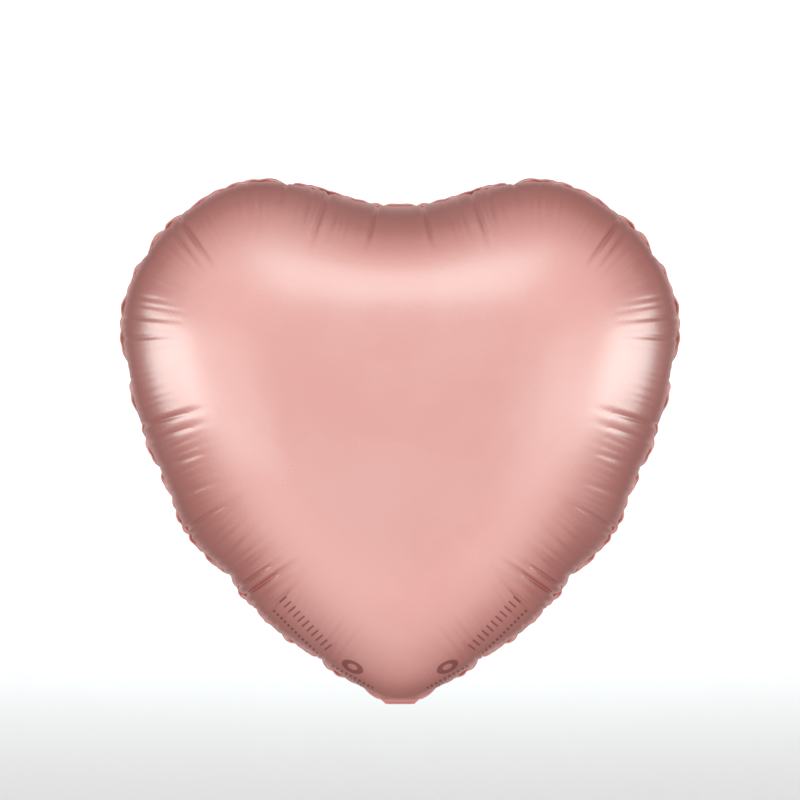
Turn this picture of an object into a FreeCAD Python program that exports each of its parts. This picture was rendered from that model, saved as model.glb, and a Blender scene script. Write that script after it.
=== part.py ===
import FreeCAD, Part
import math
import os
from FreeCAD import Vector as V

# Heart-shaped foil balloon, inflated. Millimetres.
# Frame: origin where the ribbon is tied, at the middle of the neck fold on the
# bottom tip, in the plane of the seam. +Z up to the notch, +X across, -Y front.

os.makedirs("parts", exist_ok=True)

# ---- driving dimensions ------------------------------------------------------
FOIL_T = 0.3            # foil panel, drawn thicker than the real 0.03
SEAM_T = 0.4            # fused layer between the two panels at the seam
SEAM_W = 5.0            # width of the heat-sealed seam flange
HALF_DEPTH = 91.0       # seam plane to the crown of one panel
CENTRE_Z = 174.5        # centre that the outline radii are measured from
# outline radii of the flange's outer edge, every 10 degrees from notch to tip
OUTLINE_R = [161.9, 168.0, 183.5, 200.0, 209.7, 212.5, 209.3, 199.0, 184.7, 172.6,
             163.9, 159.1, 154.5, 150.8, 151.9, 155.3, 160.6, 169.1, 174.5]
# dome sections: share of the half depth, then the section's radius as a share of
# the seam's, every 30 degrees from notch to tip
DOME = [
    (0.00, [1.000, 1.000, 1.000, 1.000, 1.000, 1.000, 1.000]),
    (0.10, [0.992, 0.996, 0.998, 0.998, 0.997, 0.996, 0.994]),
    (0.20, [0.971, 0.980, 0.988, 0.988, 0.984, 0.980, 0.974]),
    (0.35, [0.940, 0.943, 0.952, 0.954, 0.950, 0.936, 0.925]),
    (0.50, [0.896, 0.888, 0.884, 0.892, 0.893, 0.876, 0.858]),
    (0.62, [0.844, 0.828, 0.814, 0.829, 0.834, 0.805, 0.778]),
    (0.74, [0.769, 0.738, 0.709, 0.734, 0.747, 0.701, 0.660]),
    (0.84, [0.688, 0.636, 0.582, 0.620, 0.647, 0.577, 0.518]),
    (0.92, [0.571, 0.508, 0.430, 0.472, 0.510, 0.423, 0.345]),
    (0.97, [0.422, 0.362, 0.286, 0.314, 0.333, 0.245, 0.175]),
    (0.985, [0.310, 0.262, 0.206, 0.222, 0.232, 0.166, 0.116]),
    (0.995, [0.185, 0.156, 0.122, 0.128, 0.130, 0.092, 0.064]),
]

NECK_W = 24.0           # width of the neck and of the filling tail
NECK_H = 5.0            # height of the straight stub that joins neck and seam
TAIL_GAP = 1.3          # from the fold's axis to the tail's rigid part
TAIL_L = 50.0           # fold to the tail's open end
TAIL_ANGLE = 105.0      # stored position, from straight down towards the back
SIDE_WELD = 3.0         # width of each side weld of the tail
HOLE_R = 4.0            # filling hole for the nozzle, punched through both tail films
HOLE_AT = 33.0          # fold to the hole's centre

VALVE_W = 20.0          # width of the valve films
VALVE_T = 0.1           # each valve film
VALVE_WELD = 2.5        # width of each side weld of the valve channel
COLLAR_TOP = 6.0        # the valve films are fixed in the neck up to here
FLAP_BOTTOM = 6.2       # the free valve films start here
FLAP_TOP = 76.0         # and end here, inside the balloon
CHANNEL = 0.1           # gap between the two valve films
COAT_T = 0.03           # release coating printed on the back valve film

N = 72                  # points round a section


# ---- helpers -----------------------------------------------------------------
def cosine(values, phi):
    """Smooth even curve through values given evenly from 0 to 180 degrees."""
    n = len(values) - 1
    total = 0.0
    for j in range(n + 1):
        a = 0.0
        for i, v in enumerate(values):
            w = 0.5 if i in (0, n) else 1.0
            a += w * v * math.cos(math.pi * i * j / n)
        a *= 2.0 / n
        if j in (0, n):
            a *= 0.5
        total += a * math.cos(j * phi)
    return total


def outline(phi):
    return cosine(OUTLINE_R, phi)


def polar(phi, r):
    return (r * math.sin(phi), CENTRE_Z + r * math.cos(phi))


def offset_ring(inward):
    """Points of the outline moved inwards along its normal."""
    out = []
    for i in range(N):
        a = 2 * math.pi * i / N
        e = 1e-4
        x0, z0 = polar(a - e, outline(a - e))
        x1, z1 = polar(a + e, outline(a + e))
        tx, tz = x1 - x0, z1 - z0
        length = math.hypot(tx, tz)
        nx, nz = tz / length, -tx / length      # points inwards for this winding
        x, z = polar(a, outline(a))
        if nx * x + nz * (z - CENTRE_Z) > 0:
            nx, nz = -nx, -nz
        out.append((x + nx * inward, z + nz * inward))
    return out


def ring_wire(points, y):
    c = Part.BSplineCurve()
    c.interpolate(Points=[V(x, y, z) for x, z in points], PeriodicFlag=True)
    return Part.Wire([c.toShape()])


SEAM_LINE = offset_ring(SEAM_W)      # inner edge of the seam
EDGE_LINE = offset_ring(0.0)         # outer edge of the flange


def section(shares, scale):
    """A dome section: the seam line drawn in towards the centre."""
    out = []
    for i, (x, z) in enumerate(SEAM_LINE):
        phi = 2 * math.pi * i / N
        k = cosine(shares, phi) * scale
        out.append((x * k, CENTRE_Z + (z - CENTRE_Z) * k))
    return out


def dome(grow, y0, depth):
    """Side surface and crown cap of one skin of the front panel, and its base wire.
    grow moves the skin out from the seam line."""
    scale = 1 + grow / 165.0
    wires = []
    for share, row in DOME:
        wires.append(ring_wire(section(row, scale), -(y0 + share * (depth - y0))))
    side = Part.makeLoft(wires, False, False)
    return side.Faces, Part.Face(wires[-1]), wires[0]


def front_shell():
    """The front panel as one closed skin: dome outside, dome inside and flange."""
    y_in, y_out = SEAM_T / 2, SEAM_T / 2 + FOIL_T
    out_side, out_cap, out_base = dome(FOIL_T, y_out, HALF_DEPTH)
    in_side, in_cap, in_base = dome(0.0, y_in, HALF_DEPTH - FOIL_T)
    edge_in, edge_out = ring_wire(EDGE_LINE, -y_in), ring_wire(EDGE_LINE, -y_out)
    under = Part.Face(edge_in).cut(Part.Face(in_base)).Faces
    over = Part.Face(edge_out).cut(Part.Face(out_base)).Faces
    rim = Part.makeLoft([edge_in, edge_out], False, True).Faces
    skin = Part.makeShell(out_side + [out_cap] + in_side + [in_cap] + under + over + rim)
    skin.sewShape()
    solid = Part.Solid(skin.Shells[0] if skin.ShapeType != "Shell" else skin)
    if solid.Volume < 0:
        solid.reverse()
    return solid


def plate(points_out, points_in, y0, y1):
    lo, hi = min(y0, y1), max(y0, y1)
    outer = Part.Face(ring_wire(points_out, lo)).extrude(V(0, hi - lo, 0))
    inner = Part.Face(ring_wire(points_in, lo - 1)).extrude(V(0, hi - lo + 2, 0))
    return outer.cut(inner)


def box(x0, x1, y0, y1, z0, z1):
    return Part.makeBox(x1 - x0, y1 - y0, z1 - z0, V(x0, y0, z0))


def save(name, shape):
    if shape.ShapeType == "Compound" and len(shape.Solids) == 1:
        shape = shape.Solids[0]
    assert shape.isValid(), name + " is not valid"
    assert shape.Volume > 0, name + " has no volume"
    shape.exportStep("parts/" + name + ".step")
    b = shape.BoundBox
    print("%-20s solids %d volume %.2f  x %.1f..%.1f  y %.1f..%.1f  z %.1f..%.1f" % (
        name, len(shape.Solids), shape.Volume, b.XMin, b.XMax, b.YMin, b.YMax, b.ZMin, b.ZMax))


def fold(shape):
    """Turns a piece drawn straight down about the neck fold to its stored place."""
    s = shape.copy()
    s.rotate(V(0, 0, 0), V(1, 0, 0), TAIL_ANGLE)
    return s


# ---- foil panels -------------------------------------------------------------
half_seam = SEAM_T / 2
stub = box(-NECK_W / 2, NECK_W / 2, -half_seam - FOIL_T, -half_seam, 0.0, NECK_H)
panel = front_shell().fuse(stub)
save("front_panel", panel)
save("back_panel", panel.mirror(V(0, 0, 0), V(0, 1, 0)))

# ---- seam: the heat-sealed ring between the panels ---------------------------
ring = plate(EDGE_LINE, SEAM_LINE, -half_seam, half_seam)
stub = box(-NECK_W / 2, NECK_W / 2, -half_seam, half_seam, 0.0, NECK_H)
inside = Part.Face(ring_wire(SEAM_LINE, -half_seam - 1)).extrude(V(0, SEAM_T + 2, 0))
channel = box(-VALVE_W / 2, VALVE_W / 2, -half_seam - 1, half_seam + 1, -5.0, 12.0)
save("seam_weld", ring.fuse(stub.cut(inside)).cut(channel))

# ---- neck: valve films held between the panels -------------------------------
film0, film1 = CHANNEL / 2, CHANNEL / 2 + VALVE_T
save("neck_weld_front", box(-VALVE_W / 2, VALVE_W / 2, -half_seam, -film1, 0.0, NECK_H - 0.2))
save("neck_weld_back", box(-VALVE_W / 2, VALVE_W / 2, film1, half_seam, 0.0, NECK_H - 0.2))
save("valve_collar_front", box(-VALVE_W / 2, VALVE_W / 2, -film1, -film0, 0.0, COLLAR_TOP))
save("valve_collar_back", box(-VALVE_W / 2, VALVE_W / 2, film0, film1, 0.0, COLLAR_TOP))
weld_in = VALVE_W / 2 - VALVE_WELD
collar_welds = [box(s * weld_in if s > 0 else -VALVE_W / 2, VALVE_W / 2 if s > 0 else -weld_in,
                    -film0, film0, 0.0, COLLAR_TOP) for s in (-1, 1)]
save("valve_collar_welds", Part.makeCompound(collar_welds))
save("release_coating", box(-weld_in, weld_in, film0 - COAT_T, film0, 0.0, COLLAR_TOP))

# ---- valve flap: the free part of the valve, inside the balloon --------------
save("valve_film_front", box(-VALVE_W / 2, VALVE_W / 2, -film1, -film0, FLAP_BOTTOM, FLAP_TOP))
save("valve_film_back", box(-VALVE_W / 2, VALVE_W / 2, film0, film1, FLAP_BOTTOM, FLAP_TOP))
flap_welds = [box(s * weld_in if s > 0 else -VALVE_W / 2, VALVE_W / 2 if s > 0 else -weld_in,
                  -film0, film0, FLAP_BOTTOM, FLAP_TOP) for s in (-1, 1)]
save("valve_side_welds", Part.makeCompound(flap_welds))

# ---- filling tail, drawn straight down, then folded behind the tip -----------
half_neck = NECK_W / 2
front = box(-half_neck, half_neck, -half_seam - FOIL_T, -half_seam, -TAIL_L, -TAIL_GAP)
hole = Part.makeCylinder(HOLE_R, 4.0, V(0, -half_seam - FOIL_T - 2, -HOLE_AT), V(0, 1, 0))
back = box(-half_neck, half_neck, half_seam, half_seam + FOIL_T, -TAIL_L, -TAIL_GAP)
save("tail_film_front", fold(front.cut(hole)))
save("tail_film_back", fold(back.cut(hole)))
tail_welds = [fold(box(half_neck - SIDE_WELD if s > 0 else -half_neck, half_neck if s > 0 else -half_neck + SIDE_WELD,
                       -half_seam, half_seam, -TAIL_L, -TAIL_GAP)) for s in (-1, 1)]
save("tail_side_welds", Part.makeCompound(tail_welds))

# ---- neck fold: the bend of film between the seam flange and the tail --------
h = half_seam + FOIL_T
a = math.radians(TAIL_ANGLE)
d = (math.sin(a), -math.cos(a))
n = (math.cos(a), math.sin(a))
A = (TAIL_GAP * d[0] + h * n[0], TAIL_GAP * d[1] + h * n[1])
B = (TAIL_GAP * d[0] - h * n[0], TAIL_GAP * d[1] - h * n[1])
path = [(-h, 0.0), (h, 0.0), A, B, (1.05, -0.42), (0.45, -0.72), (-0.15, -0.66), (-0.42, -0.36)]
web = Part.Face(Part.makePolygon([V(-half_neck, y, z) for y, z in path + path[:1]]))
save("neck_fold", web.extrude(V(NECK_W, 0, 0)))
print("fold corners", A, B)
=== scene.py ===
"""Heart-shaped foil balloon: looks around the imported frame. Metres."""
import math

import bpy
import numpy as np
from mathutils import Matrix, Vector
from mathutils.geometry import delaunay_2d_cdt
from mathutils.kdtree import KDTree


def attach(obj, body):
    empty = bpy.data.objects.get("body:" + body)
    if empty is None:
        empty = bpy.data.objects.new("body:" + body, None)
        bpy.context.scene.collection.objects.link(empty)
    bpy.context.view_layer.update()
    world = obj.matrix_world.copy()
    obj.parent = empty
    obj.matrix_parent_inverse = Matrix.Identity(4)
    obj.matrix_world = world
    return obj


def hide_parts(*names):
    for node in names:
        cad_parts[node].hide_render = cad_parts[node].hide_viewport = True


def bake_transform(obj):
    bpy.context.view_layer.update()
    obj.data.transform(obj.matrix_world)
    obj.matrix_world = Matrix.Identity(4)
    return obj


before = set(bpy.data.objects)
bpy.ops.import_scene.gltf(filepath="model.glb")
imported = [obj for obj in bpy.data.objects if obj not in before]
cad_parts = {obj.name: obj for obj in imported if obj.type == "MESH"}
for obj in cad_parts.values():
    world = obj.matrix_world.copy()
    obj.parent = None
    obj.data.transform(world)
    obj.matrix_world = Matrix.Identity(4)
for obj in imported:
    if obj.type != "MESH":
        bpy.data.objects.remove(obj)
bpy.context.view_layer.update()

MM = 0.001
FILM = 0.22             # each film, mm
GAP = 0.4               # between the two films at the seam, mm

# ---- foil: flat cut, inflation, puckers --------------------------------------
FLANGE = 5.0            # width of the seam flange, mm
CENTRE_Z = 174.46       # centre that the outline radii are measured from, mm
# flat cut: the seam line of one half, from the notch to the tip, mm
CUT = [(0, 205.0), (36.6, 207.4), (76.5, 210.2), (117.3, 203.2), (156.2, 186.2),
       (189.7, 159.2), (210.3, 121.4), (220.8, 80.4), (221.2, 39.0), (213.2, 0),
       (202.3, -35.7), (186.0, -67.7), (168.0, -97.0), (144.7, -121.4), (123.6, -147.4),
       (96.5, -167.1), (66.9, -183.7), (35.1, -198.9), (0, -204.3)]
# inflated outline: radii of the flange's edge between its puckers, every 10 degrees
ENVELOPE = [157.8, 164.0, 182.2, 200.7, 209.1, 212.7, 210.2, 198.7, 184.6, 170.9,
            161.6, 157.3, 151.5, 149.1, 152.6, 154.6, 158.8, 168.8, 174.7]
# puckers of the edge: angle from the notch, depth in mm, half width in degrees
PUCKERS = [(23.2, 3.4, 1.3), (42.1, 1.7, 1.2), (53.6, 3.7, 1.7), (59.4, 2.5, 3.0),
           (75.4, 7.2, 2.6), (85.0, 3.8, 4.0), (96.4, 3.4, 1.6), (103.6, 3.2, 3.3),
           (128.6, 4.4, 3.3), (139.5, 4.6, 5.0), (146.0, 3.0, 3.1), (154.7, 3.0, 4.2),
           (159.8, 3.7, 1.9), (169.6, 4.4, 5.0)]
# creases that run in from the seam: angle at the edge, turn off the straight way in
# (degrees), where it starts and ends from the edge, depth and half width, mm
CREASES = [(5.0, 6, 1, 38, -1.7, 1.4), (12.5, 2, 2, 40, -0.8, 1.3), (15.5, 0, 1, 48, -1.5, 1.4),
           (18.5, -4, 2, 42, -0.8, 1.2), (23.2, 4, 1, 24, -0.9, 1.4), (30.5, 0, 2, 36, -0.7, 1.3),
           (44.5, 2, 6, 52, -2.0, 1.5), (47.0, 3, 10, 48, -1.2, 1.3), (53.6, 0, 1, 26, -0.8, 1.5),
           (66.0, 0, 3, 40, -0.7, 1.5), (70.0, 0, 3, 42, -0.7, 1.5), (87.0, 6, 1, 58, -1.7, 1.6),
           (90.5, 5, 4, 56, -0.8, 1.5), (96.4, 4, 1, 46, -0.8, 1.4), (103.6, 2, 2, 46, -0.7, 1.5),
           (112.5, 2, 3, 56, -2.0, 1.6), (114.5, 2, 6, 52, -1.3, 1.4), (117.0, 1, 4, 48, -1.0, 1.4), (128.6, 0, 1, 50, -1.4, 1.6),
           (134.5, 0, 2, 60, -2.2, 1.6), (137.0, 0, 8, 52, -1.2, 1.4), (131.5, 1, 3, 50, -1.2, 1.4), (146.0, -4, 1, 28, -0.6, 1.4),
           (159.8, 0, 1, 26, -0.6, 1.5)]


def cosine(values, phi):
    n = len(values) - 1
    total = np.zeros_like(phi)
    for j in range(n + 1):
        a = sum((0.5 if i in (0, n) else 1.0) * v * math.cos(math.pi * i * j / n)
                for i, v in enumerate(values)) * 2.0 / n
        if j in (0, n):
            a *= 0.5
        total = total + a * np.cos(j * phi)
    return total


def edge_radius(phi, puckers=1.0):
    r = cosine(ENVELOPE, phi)
    deg = np.degrees(phi)
    for at, depth, wide in PUCKERS:
        r = r - puckers * depth * np.exp(-(np.abs(deg - at) / wide) ** 1.4)
    return r


def spline(t, y, tt):
    n = len(t)
    h = np.diff(t)
    A = np.zeros((n, n))
    b = np.zeros(n)
    A[0, 0] = A[-1, -1] = 1
    for i in range(1, n - 1):
        A[i, i - 1], A[i, i], A[i, i + 1] = h[i - 1], 2 * (h[i - 1] + h[i]), h[i]
        b[i] = 6 * ((y[i + 1] - y[i]) / h[i] - (y[i] - y[i - 1]) / h[i - 1])
    m = np.linalg.solve(A, b)
    k = np.clip(np.searchsorted(t, tt) - 1, 0, n - 2)
    d = tt - t[k]
    return y[k] + d * ((y[k + 1] - y[k]) / h[k] - h[k] * (2 * m[k] + m[k + 1]) / 6) \
        + d * d * m[k] / 2 + d ** 3 * (m[k + 1] - m[k]) / (6 * h[k])


def half_curve(ctrl, n):
    P = np.array(ctrl, float)
    M = np.vstack([P[::-1][:-1] * [-1, 1], P, P[::-1][1:] * [-1, 1]])
    t = np.r_[0, np.cumsum(np.linalg.norm(np.diff(M, axis=0), axis=1) ** 0.5)]
    a = len(P) - 1
    tt = np.linspace(t[a], t[2 * a], 4000)
    C = np.stack([spline(t, M[:, 0], tt), spline(t, M[:, 1], tt)], 1)
    s = np.r_[0, np.cumsum(np.linalg.norm(np.diff(C, axis=0), axis=1))]
    q = np.linspace(0, s[-1], n + 1)
    R = np.stack([np.interp(q, s, C[:, 0]), np.interp(q, s, C[:, 1])], 1)
    R[0, 0] = R[-1, 0] = 0
    return R


def flat_mesh(h0, h1, rows, fade=0.5):
    """Flat half of both panels and the flange: rings in from the seam, h0 apart at
    the seam and h1 in the middle."""
    base = half_curve(CUT, 2000)
    L = np.linalg.norm(np.diff(base, axis=0), axis=1).sum()
    c = np.array([0.0, (base[0, 1] + base[-1, 1]) / 2 + 0.05 * (base[0, 1] - base[-1, 1])])
    mean_r = np.linalg.norm(base - c, axis=1).mean()
    pts, d, k, nb = [], 0.0, 0, 0
    while True:
        h = h0 + (h1 - h0) * min(1.0, d / (mean_r * fade))
        rr = 1 - d / mean_r
        if rr <= 0.02 or rr * L < 3 * h:
            break
        n = max(4, int(round(L * rr / h)))
        curve = c + (base - c) * rr
        idx = np.linspace(0, 2000, n + 1)
        if k % 2 == 1:
            idx = np.r_[0, (idx[:-1] + idx[1:]) / 2, 2000]
        at = np.arange(2001)
        p = np.stack([np.interp(idx, at, curve[:, 0]), np.interp(idx, at, curve[:, 1])], 1)
        p[0, 0] = p[-1, 0] = 0
        if k == 0:
            nb = len(p)
        pts.append(p)
        d += h * 0.87
        k += 1
    pts.append(c[None, :])
    P = np.vstack(pts)
    depth = np.concatenate([np.full(len(p), 1 - np.linalg.norm(p[len(p) // 2] - c)
                                    / np.linalg.norm(base[len(base) // 2] - c)) for p in pts])
    axis = sorted([i for i in range(nb, len(P)) if abs(P[i, 0]) < 1e-9], key=lambda i: P[i, 1])
    loop = list(range(nb)) + axis
    edges = [(loop[i], loop[(i + 1) % len(loop)]) for i in range(len(loop))]
    vo, eo, fo, ov, oe, of = delaunay_2d_cdt([Vector(p) for p in P], edges, [], 1, 1e-7)
    order = np.array([o[0] for o in ov])
    T = np.array([[order[i] for i in f] for f in fo], int)
    a, b, e = P[T[:, 0]], P[T[:, 1]], P[T[:, 2]]
    ar = 0.5 * ((b - a)[:, 0] * (e - a)[:, 1] - (b - a)[:, 1] * (e - a)[:, 0])
    T[ar < 0] = T[ar < 0][:, ::-1]
    T = T[np.abs(ar) > 1e-9]
    n1 = len(P)
    tang = np.gradient(P[:nb], axis=0)
    tang /= np.linalg.norm(tang, axis=1)[:, None]
    nor = np.stack([tang[:, 1], -tang[:, 0]], 1)
    if ((P[:nb] - c) * nor).sum() < 0:
        nor = -nor
    nor[0], nor[-1] = [0, 1], [0, -1]
    F = [P[:nb] + nor * (FLANGE * (j + 1) / rows) for j in range(rows)]
    nint = n1 - nb
    back = np.arange(n1)
    back[nb:] = np.arange(n1, n1 + nint)
    Tfl = []
    prev = np.arange(nb)
    for j in range(rows):
        cur = n1 + nint + j * nb + np.arange(nb)
        for i in range(nb - 1):
            if (i + j) % 2 == 0:
                Tfl += [[prev[i], prev[i + 1], cur[i]], [prev[i + 1], cur[i + 1], cur[i]]]
            else:
                Tfl += [[prev[i], prev[i + 1], cur[i + 1]], [prev[i], cur[i + 1], cur[i]]]
        prev = cur
    share = np.concatenate([depth, depth[nb:], np.zeros(rows * nb)])
    return dict(X0=np.vstack([P, P[nb:]] + F), Tf=T, Tb=back[T][:, ::-1], Tfl=np.array(Tfl),
                nb=nb, n1=n1, nint=nint, rows=rows, c=c, deep=share * mean_r)


def colour_edges(E, n):
    """Groups of edges that share no point, so that a group is solved at once."""
    left = np.arange(len(E))
    out = []
    rng = np.random.default_rng(7)
    while len(left):
        chosen = np.zeros(0, int)
        used = np.zeros(n, bool)
        cand = left
        while len(cand):
            pr = rng.random(len(cand))
            best = np.full(n, 2.0)
            np.minimum.at(best, E[cand, 0], pr)
            np.minimum.at(best, E[cand, 1], pr)
            pick = cand[(best[E[cand, 0]] == pr) & (best[E[cand, 1]] == pr)]
            chosen = np.r_[chosen, pick]
            used[E[pick].ravel()] = True
            cand = cand[~(used[E[cand, 0]] | used[E[cand, 1]])]
        out.append(np.sort(chosen))
        mask = np.zeros(len(E), bool)
        mask[chosen] = True
        left = left[~mask[left]]
    return out


def edges_of(T):
    e = np.sort(np.vstack([T[:, [0, 1]], T[:, [1, 2]], T[:, [2, 0]]]), 1)
    return np.unique(e, axis=0)


def across(T):
    """The two far points of each pair of triangles that share an edge."""
    e = np.sort(np.vstack([T[:, [0, 1]], T[:, [1, 2]], T[:, [2, 0]]]), 1)
    opp = np.r_[T[:, 2], T[:, 0], T[:, 1]]
    key = e[:, 0].astype(np.int64) * 10 ** 7 + e[:, 1]
    o = np.argsort(key, kind="stable")
    k = key[o]
    same = np.where(k[1:] == k[:-1])[0]
    return np.stack([opp[o[same]], opp[o[same + 1]]], 1)


class Film:
    """Two film panels joined at the seam, blown up. The film resists stretch fully,
    and squeezing by the share `squeeze` of each edge."""

    def __init__(s, mesh, x=None, squeeze=0.1, bend=0.0):
        s.m = mesh
        X0 = mesh["X0"]
        s.n = n = len(X0)
        s.flat = np.zeros((n, 3))
        s.flat[:, 0], s.flat[:, 2] = X0[:, 0], X0[:, 1]
        s.x = (s.flat if x is None else x).astype(np.float32).copy()
        s.v = np.zeros_like(s.x)
        s.axis = np.where(np.abs(X0[:, 0]) < 1e-6)[0]
        s.T = np.vstack([mesh["Tf"], mesh["Tb"]])
        s.all = np.vstack([s.T, mesh["Tfl"]])
        E = edges_of(s.all)
        L0 = np.linalg.norm(s.flat[E[:, 0]] - s.flat[E[:, 1]], axis=1).astype(np.float32)
        sq = np.broadcast_to(np.asarray(squeeze, np.float32), (n,))
        sq = 0.5 * (sq[E[:, 0]] + sq[E[:, 1]])
        s.cols = [(E[c, 0], E[c, 1], L0[c], sq[c]) for c in colour_edges(E, n)]
        s.bcols = []
        s.bend = bend
        if np.max(bend) > 0:
            B = np.unique(np.sort(np.vstack([across(mesh[k]) for k in ("Tf", "Tb", "Tfl")]), 1), axis=0)
            LB = np.linalg.norm(s.flat[B[:, 0]] - s.flat[B[:, 1]], axis=1).astype(np.float32)
            bd = np.broadcast_to(np.asarray(bend, np.float32), (n,))
            bd = 0.5 * (bd[B[:, 0]] + bd[B[:, 1]])
            s.bcols = [(B[c, 0], B[c, 1], LB[c], bd[c]) for c in colour_edges(B, n)]
        s.Tt = s.T.T.copy()
        s.pull = None
        s.shape = None

    def pressure(s):
        x, T = s.x, s.Tt
        nn = np.cross(x[T[1]] - x[T[0]], x[T[2]] - x[T[0]]) / 6.0
        f = np.zeros_like(x)
        for k in range(3):
            for j in range(3):
                f[:, j] += np.bincount(T[k], nn[:, j], minlength=s.n).astype(np.float32)
        return f

    def volume(s):
        x = s.x.astype(float)
        T = s.T
        return abs(2 * np.einsum("ij,ij->i", x[T[:, 0]], np.cross(x[T[:, 1]], x[T[:, 2]])).sum() / 6)

    def run(s, steps, p, damp=0.99):
        for k in range(steps):
            if k % 4 == 0:
                f = s.pressure()
            s.v *= damp
            s.v += p * f
            xp = s.x.copy()
            s.x += s.v
            x = s.x
            for i, j, l0, sq in s.cols:
                d = x[j] - x[i]
                l = np.sqrt(np.einsum("ij,ij->i", d, d)) + 1e-9
                c = 0.5 * (l - l0) / l
                c *= np.where(l < l0, sq, 1)
                d *= c[:, None]
                x[i] += d
                x[j] -= d
            for i, j, l0, b in s.bcols:
                d = x[j] - x[i]
                l = np.sqrt(np.einsum("ij,ij->i", d, d)) + 1e-9
                c = np.minimum(b * 0.5 * (l - l0) / l, 0)
                d *= c[:, None]
                x[i] += d
                x[j] -= d
            if s.pull is not None:
                kk, target = s.pull
                x += kk[:, None] * (target - x)
            if s.shape is not None:
                idx, kr, ky = s.shape
                q = x[idx]
                dz = q[:, 2] - CENTRE_Z
                r = np.hypot(q[:, 0], dz)
                want = np.interp(np.arctan2(q[:, 0], dz), s.tab_a, s.tab_r)
                g = kr * (want - r) / r
                q[:, 0] += g * q[:, 0]
                q[:, 2] += g * dz
                q[:, 1] *= 1 - ky
                x[idx] = q
            x[s.axis, 0] = 0
            s.v = x - xp
        return s


def finer(film, mesh):
    """The film's place on a finer flat mesh."""
    m, X0a, X0b = film.m, film.m["X0"], mesh["X0"]
    out = np.zeros((len(X0b), 3))
    P = film.x.astype(float)

    def place(Ta, q):
        A, B, C = X0a[Ta[:, 0]], X0a[Ta[:, 1]], X0a[Ta[:, 2]]
        cen = (A + B + C) / 3
        tree = KDTree(len(cen))
        for i, p in enumerate(cen.tolist()):
            tree.insert((p[0], p[1], 0.0), i)
        tree.balance()
        near = np.array([[h[1] for h in tree.find_n((p[0], p[1], 0.0), 9)] for p in q.tolist()])
        det = (B - A)[:, 0] * (C - A)[:, 1] - (B - A)[:, 1] * (C - A)[:, 0]
        a, b, c, dt = A[near], B[near], C[near], det[near]
        qa = q[:, None, :] - a
        u = (qa[..., 0] * (c - a)[..., 1] - qa[..., 1] * (c - a)[..., 0]) / dt
        v = ((b - a)[..., 0] * qa[..., 1] - (b - a)[..., 1] * qa[..., 0]) / dt
        w = 1 - u - v
        k = np.minimum(np.minimum(u, v), w).argmax(1)
        r = np.arange(len(q))
        tt = Ta[near[r, k]]
        return w[r, k][:, None] * P[tt[:, 0]] + u[r, k][:, None] * P[tt[:, 1]] \
            + v[r, k][:, None] * P[tt[:, 2]]
    n1, ni = mesh["n1"], mesh["nint"]
    out[:n1] = place(m["Tf"], X0b[:n1])
    out[n1:n1 + ni] = place(m["Tb"], X0b[n1:n1 + ni])
    out[n1 + ni:] = place(m["Tfl"], X0b[n1 + ni:])
    out[np.abs(X0b[:, 0]) < 1e-6, 0] = 0
    return out


def eased(x, groups, X0, rounds):
    """Takes the facets of the coarser film out of the finer one, without shrinking it."""
    n = len(x)
    E = edges_of(np.vstack(groups))
    deg = np.bincount(E.ravel(), minlength=n)[:, None]
    on = np.abs(X0[:, 0]) < 1e-6
    for k in range(2 * rounds):
        a = np.zeros_like(x)
        for j in range(3):
            a[:, j] = np.bincount(E[:, 0], x[E[:, 1], j], minlength=n) \
                + np.bincount(E[:, 1], x[E[:, 0], j], minlength=n)
        x = x + (0.52 if k % 2 == 0 else -0.54) * (a / np.maximum(deg, 1) - x)
        x[on, 0] = 0
    return x
SHOWN = 2.4             # what the waved flange still shows across, mm
DEPTH = 90.9            # half the depth of the blown-up balloon, mm


def ramp_(a, b, v):
    t = np.clip((v - a) / (b - a), 0, 1)
    return t * t * (3 - 2 * t)


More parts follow.
